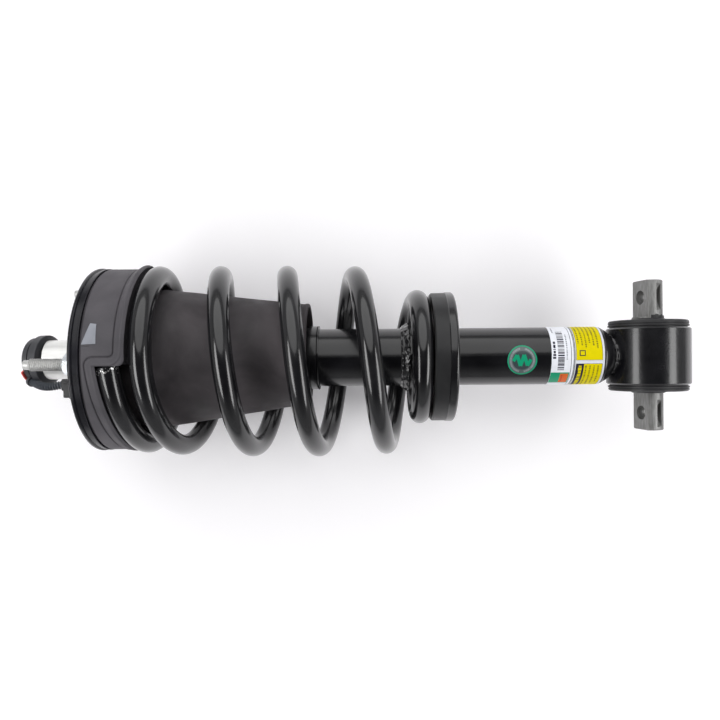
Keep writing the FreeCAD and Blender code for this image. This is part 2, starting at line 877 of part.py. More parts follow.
def lower_seat():
    """Pressed cup with a bell neck, welded round the tube."""
    return turned(
        [
            (SEAT_WELD_X + 1, TUBE_R),
            (SEAT_WELD_X + 1, TUBE_R + 2.6),
            (SEAT_WELD_X + 6, TUBE_R + 3.2),
            (SEAT_WELD_X + 20, 36.4, SEAT_WELD_X + 14.6, 31.0),
            (SEAT_WELD_X + 27, 39.6, SEAT_WELD_X + 23, 38.6),
            (LOWER_PLATE_X, 40.0),
            (LOWER_PLATE_X, LOWER_SEAT_R - 0.6),
            (LOWER_PLATE_X + 0.6, LOWER_SEAT_R),
            (LOWER_RIM_END_X - 2.6, LOWER_SEAT_R),
            (LOWER_RIM_END_X, LOWER_SEAT_R - 2.6, LOWER_RIM_END_X - 0.76, LOWER_SEAT_R - 0.76),
            (LOWER_RIM_END_X, LOWER_SEAT_R - 3.2),
            (LOWER_PLATE_X + 3, LOWER_SEAT_R - 4.4),
            (LOWER_PLATE_X + 3, 37.2),
            (SEAT_WELD_X + 26, 36.8),
            (SEAT_WELD_X + 19, 33.4, SEAT_WELD_X + 22.6, 35.8),
            (SEAT_WELD_X + 5, TUBE_R, SEAT_WELD_X + 12, 28.4),
        ]
    )


def seat_weld():
    """Weld bead at the neck of the lower seat."""
    return turned(
        [
            (SEAT_WELD_X - 1.6, TUBE_R),
            (SEAT_WELD_X + 1, TUBE_R + 2.6, SEAT_WELD_X - 0.6, TUBE_R + 2.4),
            (SEAT_WELD_X + 1, TUBE_R),
        ]
    )


def lower_isolator():
    """Rubber ring under the spring's tail coil."""
    return turned(
        [
            (LOWER_RUBBER_X, 41.0),
            (LOWER_RUBBER_X, LOWER_RUBBER_R - 1.2),
            (LOWER_RUBBER_X + 1.2, LOWER_RUBBER_R),
            (LOWER_PLATE_X, LOWER_RUBBER_R),
            (LOWER_PLATE_X, 41.0),
        ]
    )


# ---- lower eye and bar pin ---------------------------------------------------------------


def about_pin(points):
    """A solid turned about the bar pin's axis from (y, radius) points."""
    face = profile_face(points)
    solid = face.revolve(ORIGIN, AXIS_X, 360)
    solid.rotate(ORIGIN, vector(0, 0, 1), 90)
    solid.translate(vector(EYE_X, 0, 0))
    return solid


def lower_eye():
    """Round housing welded across the strut's end."""
    low = EYE_OFFSET - EYE_LENGTH / 2
    high = EYE_OFFSET + EYE_LENGTH / 2
    inner = EYE_R - EYE_WALL
    return about_pin(
        [
            (low, inner),
            (low, EYE_R - 1.2),
            (low + 1.2, EYE_R),
            (high - 1.2, EYE_R),
            (high, EYE_R - 1.2),
            (high, inner),
        ]
    )


def bushing_lip(start, reach):
    """Half profile of the bushing's grooved lip, from the housing's end to the collar."""
    inner = PIN_R + RUNNING_GAP
    return [
        (start, EYE_R - EYE_WALL),
        (start, LIP_R - 1.6),
        (start + 1.0, LIP_R - 1.6),
        (start + 1.5, LIP_R),
        (start + 2.6, LIP_R),
        (start + 3.0, LIP_R - 0.9),
        (start + 3.4, LIP_R - 0.9),
        (start + 3.7, LIP_R - 0.3),
        (reach - 0.8, LIP_R - 0.5),
        (reach, LIP_R - 1.5),
        (reach, inner + 4.2),
        (reach + 0.4, inner + 2.4),
        (reach + 0.8, inner + 1.8),
        (reach + 0.8, inner),
    ]


def eye_bushing():
    """Rubber bonded in the eye, with a grooved lip and a small collar at each end."""
    low = bushing_lip(EYE_LENGTH / 2 - EYE_OFFSET, LIP_REACH[0])
    high = bushing_lip(EYE_LENGTH / 2 + EYE_OFFSET, LIP_REACH[1])
    return about_pin(high + [(-y, radius) for y, radius in reversed(low)])


def bar_pin():
    """Round bar with two flats, a bolt hole and a side slot at each end."""
    half = PIN_LENGTH / 2
    pin = about_pin(
        [
            (-half, 0),
            (-half, PIN_R - 1.0),
            (-half + 1.0, PIN_R),
            (half - 1.0, PIN_R),
            (half, PIN_R - 1.0),
            (half, 0),
        ]
    )
    for end in (-1, 1):
        middle = end * PIN_HOLE_SPACING / 2
        reach = half - PIN_ROUND_HALF
        low = PIN_ROUND_HALF if end > 0 else -half - 1
        for face in (-1, 1):
            x0 = EYE_X + PIN_FLATS / 2 if face > 0 else EYE_X - PIN_FLATS / 2 - 20
            pin = pin.cut(Part.makeBox(20, reach + 1, 60, vector(x0, low, -30)))
        bore = Part.makeCylinder(PIN_HOLE_R, 40, vector(EYE_X - 20, middle, 0), AXIS_X)
        pin = pin.cut(bore)
        chord = PIN_SLOT_LENGTH / 2
        cutter_r = (chord**2 + PIN_SLOT_DEPTH**2) / (2 * PIN_SLOT_DEPTH)
        lift = PIN_R + cutter_r - PIN_SLOT_DEPTH
        cutter = Part.makeCylinder(
            cutter_r, PIN_SLOT_WIDTH, vector(EYE_X - 0.4, middle, lift), AXIS_X
        )
        pin = pin.cut(cutter)
    pin.rotate(vector(EYE_X, 0, 0), AXIS_Y, PIN_TILT)
    return pin


# ---- labels ----------------------------------------------------------------------------


def round_sticker():
    """Round sticker on the tube's front."""
    skin = patch(TUBE_R, STICKER_X - STICKER_R, STICKER_X + STICKER_R, 40, 160)
    lean = math.radians(STICKER_LEAN)
    punch = Part.makeCylinder(
        STICKER_R, 60, vector(STICKER_X, 0, 0), vector(0, -math.sin(lean), math.cos(lean))
    )
    return skin.common(punch)


def white_label():
    """White label wrapped round the tube."""
    return patch(TUBE_R, 389.8, 409.4, LABEL_START, LABEL_END)


def yellow_label():
    """Yellow label beside the white one."""
    return patch(TUBE_R, 410.0, 435.2, LABEL_START, LABEL_END)


NODES = (
    mount_plate,
    mount_studs,
    stud_nuts,
    mount_bush,
    mount_bush_core,
    bush_washers,
    rod_nut,
    rod_top_sleeve,
    connector_cap,
    connector_insert,
    connector_lock,
    conduit,
    harness_plug,
    plug_clip,
    upper_isolator,
    maker_patch,
    dust_tube,
    bumper_cup,
    jounce_bumper,
    coil_spring,
    piston_rod,
    rod_lead,
    piston,
    piston_coil,
    piston_rings,
    piston_nut,
    rebound_stop,
    damper_tube,
    top_cap,
    rod_seal,
    seal_carrier,
    rod_guide,
    gas_piston,
    gas_piston_seal,
    tube_base,
    eye_weld,
    lower_seat,
    seat_weld,
    lower_isolator,
    lower_eye,
    eye_bushing,
    bar_pin,
    round_sticker,
    white_label,
    yellow_label,
)

os.makedirs("parts", exist_ok=True)
for make in NODES:
    shape = make()
    if not shape.isValid() or not shape.Solids:
        print("not a valid solid:", make.__name__)
    shape.exportStep("parts/" + make.__name__ + ".step")
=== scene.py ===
"""Looks of a front coil-over strut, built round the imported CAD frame. Lengths are in metres."""
import bpy
import bmesh
import json
import math
import random
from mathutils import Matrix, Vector


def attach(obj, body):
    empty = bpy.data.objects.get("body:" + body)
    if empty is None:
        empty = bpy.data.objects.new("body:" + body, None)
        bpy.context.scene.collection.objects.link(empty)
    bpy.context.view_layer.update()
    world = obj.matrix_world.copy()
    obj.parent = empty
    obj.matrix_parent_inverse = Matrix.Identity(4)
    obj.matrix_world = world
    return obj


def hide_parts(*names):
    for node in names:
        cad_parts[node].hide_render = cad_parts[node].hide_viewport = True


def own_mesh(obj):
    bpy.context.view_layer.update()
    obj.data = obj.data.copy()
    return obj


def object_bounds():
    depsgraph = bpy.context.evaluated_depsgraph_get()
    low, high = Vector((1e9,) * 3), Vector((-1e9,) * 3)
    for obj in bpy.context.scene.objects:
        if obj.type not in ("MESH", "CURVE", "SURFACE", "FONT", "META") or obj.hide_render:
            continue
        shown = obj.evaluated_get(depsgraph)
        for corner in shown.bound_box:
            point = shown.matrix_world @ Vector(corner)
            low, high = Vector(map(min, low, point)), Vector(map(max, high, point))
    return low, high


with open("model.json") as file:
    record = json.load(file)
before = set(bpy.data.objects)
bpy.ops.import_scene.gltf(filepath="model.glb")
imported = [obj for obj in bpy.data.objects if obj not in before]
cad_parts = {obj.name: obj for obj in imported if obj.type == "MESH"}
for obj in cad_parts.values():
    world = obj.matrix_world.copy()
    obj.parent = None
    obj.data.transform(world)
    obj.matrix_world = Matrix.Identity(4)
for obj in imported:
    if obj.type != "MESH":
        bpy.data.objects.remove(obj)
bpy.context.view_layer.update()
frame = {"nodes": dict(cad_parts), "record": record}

MM = 0.001
NODES = frame["nodes"]
SCENE = bpy.context.scene
NEAR_CURVE = 35.0


# ---- camera, floor and light -----------------------------------------------------------


def look_at(obj, target):
    """Turn a lamp or camera so that its -Z axis points at the target."""
    direction = Vector(target) - obj.location
    obj.rotation_euler = direction.to_track_quat("-Z", "Y").to_euler()


def make_camera():
    """Straight above the strut, a little right of its middle, with a half-degree roll."""
    camera = bpy.data.objects.new("camera", bpy.data.cameras.new("camera"))
    SCENE.collection.objects.link(camera)
    camera.location = (0.2328, -0.0024, 0.618)
    camera.rotation_euler = (0, 0, math.radians(-0.47))
    camera.data.sensor_width = 36.0
    camera.data.lens = 34.7
    camera.data.shift_x = -0.0111
    camera.data.clip_end = 60.0
    SCENE.camera = camera


def make_floor():
    """Plain white table just under the lowest point of the frame."""
    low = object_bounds()[0][2] - 0.0002
    bpy.ops.mesh.primitive_plane_add(size=24.0, location=(0.2, 0, low))
    floor = bpy.context.object
    floor.name = "floor"
    material = new_material("floor_white", (0.935, 0.925, 0.94), 0.6)
    shader = material.node_tree.nodes["Principled BSDF"]
    shader.inputs["Emission Color"].default_value = (0.98, 0.96, 1.0, 1)
    shader.inputs["Emission Strength"].default_value = 0.165
    floor.data.materials.append(material)


def make_lamp(name, location, target, size, power):
    """An oval softbox that faces its target."""
    data = bpy.data.lights.new(name, "AREA")
    data.shape = "ELLIPSE"
    data.size = size[0]
    data.size_y = size[1]
    data.energy = power
    lamp = bpy.data.objects.new(name, data)
    SCENE.collection.objects.link(lamp)
    lamp.location = location
    look_at(lamp, target)


def make_world():
    """Pale surroundings that fade to dark overhead, as over a table in a studio."""
    world = bpy.data.worlds.new("studio")
    SCENE.world = world
    world.use_nodes = True
    tree = world.node_tree
    tree.nodes.clear()
    output = tree.nodes.new("ShaderNodeOutputWorld")
    background = tree.nodes.new("ShaderNodeBackground")
    ramp = tree.nodes.new("ShaderNodeValToRGB")
    split = tree.nodes.new("ShaderNodeSeparateXYZ")
    place = tree.nodes.new("ShaderNodeTexCoord")
    tree.links.new(place.outputs["Generated"], split.inputs[0])
    tree.links.new(split.outputs["Z"], ramp.inputs[0])
    tree.links.new(ramp.outputs["Color"], background.inputs["Color"])
    tree.links.new(background.outputs[0], output.inputs[0])
    stops = ramp.color_ramp.elements
    stops[0].position = 0.30
    stops[0].color = (0.95, 0.95, 0.96, 1)
    stops[1].position = 0.80
    stops[1].color = (0.03, 0.03, 0.032, 1)
    background.inputs["Strength"].default_value = 0.40


# ---- materials -------------------------------------------------------------------------


def new_material(
    name, colour, roughness, metallic=0.0, coat=0.0, coat_roughness=0.05, specular=0.5
):
    """A Principled material with its constants on the shader's own sockets."""
    material = bpy.data.materials.new(name)
    material.use_nodes = True
    shader = material.node_tree.nodes["Principled BSDF"]
    shader.inputs["Base Color"].default_value = (*colour, 1)
    shader.inputs["Roughness"].default_value = roughness
    shader.inputs["Metallic"].default_value = metallic
    shader.inputs["Coat Weight"].default_value = coat
    shader.inputs["Coat Roughness"].default_value = coat_roughness
    shader.inputs["Specular IOR Level"].default_value = specular
    return material


def add_noise(material, scale, detail=4.0, stretch=(1, 1, 1), distortion=0.0):
    """A noise texture in the piece's own space. Returns its value socket."""
    tree = material.node_tree
    place = tree.nodes.new("ShaderNodeTexCoord")
    shape = tree.nodes.new("ShaderNodeMapping")
    shape.inputs["Scale"].default_value = stretch
    noise = tree.nodes.new("ShaderNodeTexNoise")
    noise.inputs["Scale"].default_value = scale
    noise.inputs["Detail"].default_value = detail
    noise.inputs["Distortion"].default_value = distortion
    tree.links.new(place.outputs["Object"], shape.inputs[0])
    tree.links.new(shape.outputs[0], noise.inputs["Vector"])
    return noise.outputs[0]


def add_ramp(material, source, low, high, socket, low_value, high_value):
    """Drive a colour or number socket from a texture, between two stops."""
    tree = material.node_tree
    ramp = tree.nodes.new("ShaderNodeValToRGB")
    stops = ramp.color_ramp.elements
    stops[0].position = low
    stops[1].position = high
    as_colour = socket == "Base Color"
    stops[0].color = (*low_value, 1) if as_colour else (low_value, low_value, low_value, 1)
    stops[1].color = (*high_value, 1) if as_colour else (high_value, high_value, high_value, 1)
    tree.links.new(source, ramp.inputs[0])
    shader = tree.nodes["Principled BSDF"]
    tree.links.new(ramp.outputs[0], shader.inputs[socket])


def add_bump(material, sources, strength, distance):
    """Bump from one or more texture values, added together."""
    tree = material.node_tree
    total = sources[0]
    for source in sources[1:]:
        adder = tree.nodes.new("ShaderNodeMath")
        adder.operation = "ADD"
        tree.links.new(total, adder.inputs[0])
        tree.links.new(source, adder.inputs[1])
        total = adder.outputs[0]
    bump = tree.nodes.new("ShaderNodeBump")
    bump.inputs["Strength"].default_value = strength
    bump.inputs["Distance"].default_value = distance
    tree.links.new(total, bump.inputs["Height"])
    tree.links.new(bump.outputs[0], tree.nodes["Principled BSDF"].inputs["Normal"])


def paint(name, colour, roughness, peel=0.12, dust=0.10, coat=0.40, specular=0.5):
    """Gloss paint with a faint orange peel and a little dust that dulls it."""
    material = new_material(
        name, colour, roughness, coat=coat, coat_roughness=0.04, specular=specular
    )
    dusty = add_noise(material, 38, 6)
    add_ramp(material, dusty, 0.45, 0.75, "Roughness", roughness, roughness + dust)
    shade = tuple(min(1.0, c * 1.9 + 0.004) for c in colour)
    add_ramp(material, dusty, 0.40, 0.80, "Base Color", colour, shade)
    add_bump(material, [add_noise(material, 420, 2)], peel, 0.0002)
    return material


def rubber(name, colour, bloom, roughness=0.62, grain=0.35):
    """Moulded rubber with bloom in soft patches and a fine grain."""
    material = new_material(name, colour, roughness, specular=0.35)
    patches = add_noise(material, 22, 6, distortion=0.6)
    add_ramp(material, patches, 0.32, 0.70, "Base Color", colour, bloom)
    worn = add_noise(material, 60, 4)
    add_ramp(material, worn, 0.3, 0.7, "Roughness", roughness - 0.08, roughness + 0.1)
    add_bump(material, [add_noise(material, 900, 3), add_noise(material, 70, 3)], grain, 0.0003)
    return material


def metal(name, colour, dull, roughness, brushed=(1, 1, 1), mark=0.25, bare=1.0):
    """Bare or plated metal with streaks along one way."""
    material = new_material(name, colour, roughness, metallic=bare)
    streaks = add_noise(material, 260, 5, stretch=brushed)
    add_ramp(material, streaks, 0.30, 0.72, "Base Color", dull, colour)
    worn = add_noise(material, 90, 4)
    add_ramp(material, worn, 0.3, 0.7, "Roughness", roughness - 0.06, roughness + 0.12)
    add_bump(material, [streaks], mark, 0.0002)
    return material


def plastic(name, colour, roughness, shade=1.5, grain=0.2):
    """Moulded plastic with a fine texture."""
    material = new_material(name, colour, roughness)
    lighter = tuple(min(1.0, c * shade + 0.003) for c in colour)
    add_ramp(material, add_noise(material, 50, 5), 0.35, 0.75, "Base Color", colour, lighter)
    worn = add_noise(material, 120, 3)
    add_ramp(material, worn, 0.3, 0.7, "Roughness", roughness - 0.05, roughness + 0.08)
    add_bump(material, [add_noise(material, 1100, 2)], grain, 0.0002)
    return material


def film(name, colour, roughness=0.28, shine=0.25):
    """Printed label film with a faint ripple."""
    material = new_material(name, colour, roughness, specular=shine)
    darker = tuple(c * 0.9 for c in colour)
    add_ramp(material, add_noise(material, 160, 4), 0.3, 0.7, "Base Color", darker, colour)
    add_bump(material, [add_noise(material, 140, 2)], 0.06, 0.0003)
    return material


M = {
    "spring_paint": paint("spring_paint", (0.006, 0.006, 0.007), 0.18, dust=0.08),
    "tube_paint": paint("tube_paint", (0.004, 0.004, 0.005), 0.20, dust=0.05, coat=0.22),
    "seat_paint": paint("seat_paint", (0.007, 0.007, 0.008), 0.20, dust=0.06, coat=0.30),
    "eye_paint": paint("eye_paint", (0.002, 0.002, 0.003), 0.25, peel=0.3, dust=0.04, coat=0.3),
    "weld_paint": paint("weld_paint", (0.012, 0.012, 0.013), 0.14, peel=0.5),
    "black_steel": paint("black_steel", (0.007, 0.007, 0.010), 0.22, coat=0.0, specular=0.30),
    "isolator_rubber": rubber("isolator_rubber", (0.058, 0.055, 0.062), (0.092, 0.086, 0.096)),
    "dust_rubber": rubber("dust_rubber", (0.034, 0.030, 0.033), (0.072, 0.063, 0.068)),
    "bush_rubber": rubber("bush_rubber", (0.018, 0.018, 0.020), (0.042, 0.042, 0.044), 0.42),
    "seal_rubber": rubber("seal_rubber", (0.016, 0.016, 0.016), (0.03, 0.03, 0.03)),
    "bumper_foam": rubber("bumper_foam", (0.50, 0.42, 0.27), (0.60, 0.52, 0.34)),
    "raw_steel": metal("raw_steel", (0.48, 0.48, 0.49), (0.36, 0.36, 0.36), 0.38),
    "pin_steel": metal(
        "pin_steel", (0.32, 0.32, 0.315), (0.19, 0.19, 0.185), 0.44, (3, 0.4, 3), 0.2, 0.6
    ),
    "zinc_stud": metal(
        "zinc_stud", (0.64, 0.64, 0.63), (0.54, 0.54, 0.53), 0.44, mark=0.0, bare=0.8
    ),
    "zinc_nut": metal("zinc_nut", (0.80, 0.84, 0.86), (0.68, 0.72, 0.74), 0.24),
    "satin_zinc": metal(
        "satin_zinc", (0.90, 0.90, 0.88), (0.84, 0.84, 0.82), 0.36, (0.3, 2, 2), 0.1, 0.55
    ),
    "chromed_rod": metal("chromed_rod", (0.80, 0.81, 0.83), (0.74, 0.75, 0.77), 0.12, mark=0.05),
    "copper_winding": metal("copper_winding", (0.75, 0.38, 0.20), (0.60, 0.28, 0.14), 0.30),
    "gas_piston_alloy": metal("gas_piston_alloy", (0.72, 0.72, 0.72), (0.62, 0.62, 0.62), 0.30),
    "cap_plastic": plastic("cap_plastic", (0.034, 0.035, 0.040), 0.45),
    "plug_plastic": plastic("plug_plastic", (0.020, 0.020, 0.022), 0.45),
    "conduit_plastic": plastic("conduit_plastic", (0.075, 0.084, 0.098), 0.24, grain=0.05),
    "red_plastic": plastic("red_plastic", (0.80, 0.10, 0.085), 0.35, shade=1.15),
    "grey_patch": plastic("grey_patch", (0.22, 0.23, 0.26), 0.5, shade=1.4),
    "lead_insulation": plastic("lead_insulation", (0.04, 0.04, 0.04), 0.5),
    "slide_band": plastic("slide_band", (0.16, 0.15, 0.13), 0.4),
    "sticker": film("sticker", (0.10, 0.13, 0.13), 0.16, 0.6),
    "seat_rubber": rubber("seat_rubber", (0.012, 0.012, 0.013), (0.022, 0.022, 0.023), 0.34, 0.15),
    "label_white": film("label_white", (0.86, 0.88, 0.94)),
    "label_yellow": film("label_yellow", (0.76, 0.645, 0.001), 0.45, 0.05),
    "bare_fleck": metal("bare_fleck", (0.80, 0.80, 0.79), (0.55, 0.55, 0.54), 0.30),
    "ink_black": film("ink_black", (0.022, 0.020, 0.040), 0.4, 0.15),
    "ink_grey": film("ink_grey", (0.14, 0.15, 0.20), 0.4, 0.15),
    "ink_slate": film("ink_slate", (0.045, 0.065, 0.070), 0.22, 0.5),
    "ink_mid": film("ink_mid", (0.115, 0.130, 0.140), 0.22, 0.5),
    "ink_pale": film("ink_pale", (0.30, 0.34, 0.35), 0.30, 0.5),
    "ink_olive": film("ink_olive", (0.24, 0.20, 0.01), 0.5, 0.1),
    "ink_green": film("ink_green", (0.003, 0.32, 0.16), 0.35, 0.3),
    "ink_orange": film("ink_orange", (0.72, 0.14, 0.03), 0.4, 0.15),
    "ink_red": film("ink_red", (0.50, 0.07, 0.03), 0.4, 0.15),
    "ink_white": film("ink_white", (0.74, 0.76, 0.81), 0.35, 0.25),
}


# ---- mesh helpers ----------------------------------------------------------------------


def new_piece(name, verts, faces, material, body, sharp=NEAR_CURVE, slot=None):
    """Link a mesh piece, smooth it up to an edge angle, and make it ride on a body."""
    mesh = bpy.data.meshes.new(name)
    mesh.from_pydata([tuple(v) for v in verts], [], faces)
    mesh.update()
    fix = bmesh.new()
    fix.from_mesh(mesh)
    bmesh.ops.recalc_face_normals(fix, faces=fix.faces)
    fix.to_mesh(mesh)
    fix.free()
    mesh.shade_smooth()
    mesh.set_sharp_from_angle(angle=math.radians(sharp))
    piece = bpy.data.objects.new(name, mesh)
    SCENE.collection.objects.link(piece)
    mesh.materials.append(M[material])
    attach(piece, body)
    return piece


def around(x, radius, angle):
    """A point from height, radius and angle in degrees, all round the strut's axis."""
    turn = math.radians(angle)
    return Vector((x, radius * math.cos(turn), radius * math.sin(turn)))


def grid_faces(rows, columns, close_rows=False, close_columns=False):
    """Quads of a rows x columns grid of vertices."""
    faces = []
    for i in range(rows if close_rows else rows - 1):
        for j in range(columns if close_columns else columns - 1):
            a = i * columns + j
            b = i * columns + (j + 1) % columns
            c = ((i + 1) % rows) * columns + (j + 1) % columns
            d = ((i + 1) % rows) * columns + j
            faces.append((a, b, c, d))
    return faces


def sweep(centres, radii, sides, twist=0.0):
    """Rings of vertices round a path, and their faces with flat ends."""
    tangents = []
    for i, centre in enumerate(centres):
        before = centres[max(i - 1, 0)]
        after = centres[min(i + 1, len(centres) - 1)]
        tangents.append((after - before).normalized())
    side = tangents[0].orthogonal().normalized()
    verts = []
    for centre, tangent, radius in zip(centres, tangents, radii):
        side = (side - tangent * side.dot(tangent)).normalized()
        other = tangent.cross(side)
        for k in range(sides):
            turn = 2 * math.pi * k / sides + twist
            verts.append(centre + radius * (math.cos(turn) * side + math.sin(turn) * other))
    faces = grid_faces(len(centres), sides, close_columns=True)
    last = (len(centres) - 1) * sides
    faces.append(tuple(range(sides)))
    faces.append(tuple(last + k for k in range(sides)))
    return verts, faces


def join(parts):
    """One vertex and face list from several."""
    verts, faces = [], []
    for more_verts, more_faces in parts:
        start = len(verts)
        verts.extend(more_verts)
        faces.extend(tuple(start + i for i in face) for face in more_faces)
    return verts, faces


def lathe(outline, sides=144, change=None):
    """A ring round the strut's axis from a closed outline of (x, radius) in millimetres."""
    verts = []
    for x, radius in outline:
        for k in range(sides):
            angle = 360.0 * k / sides
            here = change(x, radius, angle) if change else (x, radius, 0.0)
            shift = Vector((0, here[2] * MM, 0))
            verts.append(around(here[0] * MM, here[1] * MM, angle) + shift)
    return verts, grid_faces(len(outline), sides, close_rows=True, close_columns=True)


def slab(grid, place, low, high):
    """A thin closed solid over a grid of (u, v) points, between two heights off a surface."""
    rows, columns = len(grid), len(grid[0])
    flat = [point for row in grid for point in row]
    verts = [place(u, v, high) for u, v in flat] + [place(u, v, low) for u, v in flat]
    count = rows * columns
    faces = grid_faces(rows, columns)
    faces += [tuple(count + i for i in reversed(face)) for face in grid_faces(rows, columns)]
    rim = [j for j in range(columns)]
    rim += [i * columns + columns - 1 for i in range(1, rows)]
    rim += [(rows - 1) * columns + j for j in range(columns - 2, -1, -1)]
    rim += [i * columns for i in range(rows - 2, 0, -1)]
    for a, b in zip(rim, rim[1:] + rim[:1]):
        faces.append((a, b, count + b, count + a))
    return verts, faces


def ripple(angle, seed, waves=9, lowest=3):
    """A repeatable wavy value of about -1 to 1 round a circle."""
    chance = random.Random(seed)
    total = 0.0
    for index in range(waves):
        times = lowest + index * 2 + chance.randint(0, 2)
        height = chance.uniform(0.4, 1.0)
        total += height * math.sin(math.radians(times * angle) + chance.uniform(0, 6.28))
    return total / (waves * 0.5)


def along(table, angle):
    """A smooth value at an angle, from (angle, value) pairs."""
    last = len(table) - 1
    if angle <= table[0][0]:
        return table[0][1]
    if angle >= table[last][0]:
        return table[last][1]
    slopes = [(b[1] - a[1]) / (b[0] - a[0]) for a, b in zip(table, table[1:])]
    tangents = [slopes[0]]
    for before, after in zip(slopes, slopes[1:]):
        same_way = before * after > 0
        tangents.append(2 * before * after / (before + after) if same_way else 0.0)
    tangents.append(slopes[-1])
    at = max(i for i in range(last) if table[i][0] <= angle)
    span = table[at + 1][0] - table[at][0]
    t = (angle - table[at][0]) / span
    return (
        (2 * t**3 - 3 * t**2 + 1) * table[at][1]
        + (t**3 - 2 * t**2 + t) * span * tangents[at]
        + (3 * t**2 - 2 * t**3) * table[at + 1][1]
        + (t**3 - t**2) * span * tangents[at + 1]
    )


# ---- coil spring -----------------------------------------------------------------------

WIRE_R = 8.88 * MM
COIL_START = 94.0
COIL_END = 2146.0
COIL_HEIGHTS = (
    (94, 28.2),
    (172, 40.0),
    (368, 51.5),
    (450, 54.4),
    (532, 70.2),
    (728, 105.0),
    (1170, 176.0),
    (1612, 248.4),
    (1808, 276.8),
    (1890, 278.0),
    (2150, 278.0),
)
COIL_RADII = (
    (94, 72.8),
    (450, 74.2),
    (1170, 75.5),
    (1500, 74.5),
    (1640, 74.5),
    (1820, 50.0),
    (2150, 50.0),
)
COIL_BOW = ((94, 0.4), (450, 1.2), (1170, 3.0), (1500, 2.8), (1820, 0.0), (2150, 0.0))


def coil_centre(angle):
    """Centre of the wire's section at an angle, bowed towards -Y."""
    centre = around(along(COIL_HEIGHTS, angle) * MM, along(COIL_RADII, angle) * MM, angle)
    return centre - Vector((0, along(COIL_BOW, angle) * MM, 0))


def make_spring():
    """Wire with sawn ends."""
    step = 3.0
    count = int(round((COIL_END - COIL_START) / step))
    sweep_angle = COIL_END - COIL_START
    centres = [coil_centre(COIL_START + sweep_angle * i / count) for i in range(count + 1)]
    bevel = 0.8 * MM
    first = (centres[1] - centres[0]).normalized()
    final = (centres[-1] - centres[-2]).normalized()
    centres.insert(1, centres[0] + first * bevel)
    centres.insert(-1, centres[-1] - final * bevel)
    radii = [WIRE_R] * len(centres)
    radii[0] = radii[-1] = WIRE_R - bevel
    verts, faces = sweep(centres, radii, 40)
    spring = new_piece("coil_spring_wire", verts, faces, "spring_paint", "top_mount", 40)
    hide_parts("coil_spring")
    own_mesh(spring)


def make_end_flecks():
    """Chipped paint that shows bare metal at the wire's sawn end."""
    chance = random.Random(11)
    start = coil_centre(COIL_START)
    onward = (coil_centre(COIL_START + 1) - start).normalized()
    up = Vector((0, 0, 1))
    out = (up - onward * up.dot(onward)).normalized()
    side = onward.cross(out)
    parts = []
    for index in range(26):
        turn = math.radians(chance.uniform(-75, 75))
        reach = chance.uniform(1.0, 6.5) * MM
        size = chance.uniform(0.35, 0.95) * MM
        normal = math.cos(turn) * out + math.sin(turn) * side
        middle = start + onward * reach + normal * WIRE_R
        across = onward.cross(normal)
        edge = []
        for k in range(7):
            lean = 2 * math.pi * k / 7
            wide = size * chance.uniform(0.5, 1.2)
            point = middle + wide * (math.cos(lean) * onward + 0.8 * math.sin(lean) * across)
            edge.append(point)
        top = [point + normal * 0.05 * MM for point in edge]
        low = [point - normal * 0.30 * MM for point in edge]
        faces = [tuple(range(7)), tuple(range(13, 6, -1))]
        faces += [(k, (k + 1) % 7, 7 + (k + 1) % 7, 7 + k) for k in range(7)]
        parts.append((top + low, faces))
    verts, faces = join(parts)
    new_piece("wire_end_flecks", verts, faces, "bare_fleck", "top_mount", slot="spring_paint")


# ---- upper spring seat -------------------------------------------------------------------

SIDE_R = 79.4
SEAT_LIFT_FROM = 350.0
SEAT_LIFT = 3.6
SEAT_DROP = 9.05
LOW_EDGE = COIL_HEIGHTS[0][1] - SEAT_DROP
CORNER_R = 5.0


def seat_height(angle):
    """Height of the rubber seat under the top coil."""
    lift = max(0.0, (angle - SEAT_LIFT_FROM) / (COIL_START + 360.0 - SEAT_LIFT_FROM))
    return along(COIL_HEIGHTS, angle) - SEAT_DROP - SEAT_LIFT * lift**1.5


def smooth_step(value):
    """A soft step from 0 to 1 as the value goes from 0 to 1."""
    value = min(1.0, max(0.0, value))
    return value * value * (3 - 2 * value)


def side_bulge(x, angle):
    """How far the isolator's side stands out: a rib along its edge and a groove beside it."""
    to_seat = seat_height(angle) - x
    round_step = math.radians(COIL_START + 360.0 - angle) * SIDE_R
    to_step = math.hypot(round_step, max(0.0, LOW_EDGE - x))
    corner = CORNER_R + 6.0
    if to_seat < corner and to_step < corner:
        reach = math.hypot(corner - to_seat, corner - to_step)
        sharp = min(to_seat, to_step)
        edge = min(sharp, max(corner - reach, sharp - 0.6 * CORNER_R))
    else:
        edge = min(to_seat, to_step)
    edge = max(0.0, edge)
    tall = 1.3 + 1.05 * (1 + math.cos(math.radians(angle - 7)))
    groove = -0.9 * math.exp(-(((edge - 7.3) / 0.55) ** 2))
    rib = 0.7 * smooth_step((6.9 - edge) / 0.8) + (tall - 0.7) * smooth_step((6.0 - edge) / 5.0)
    rounding = -0.6 * smooth_step((0.8 - edge) / 0.8)
    return groove + rib + rounding


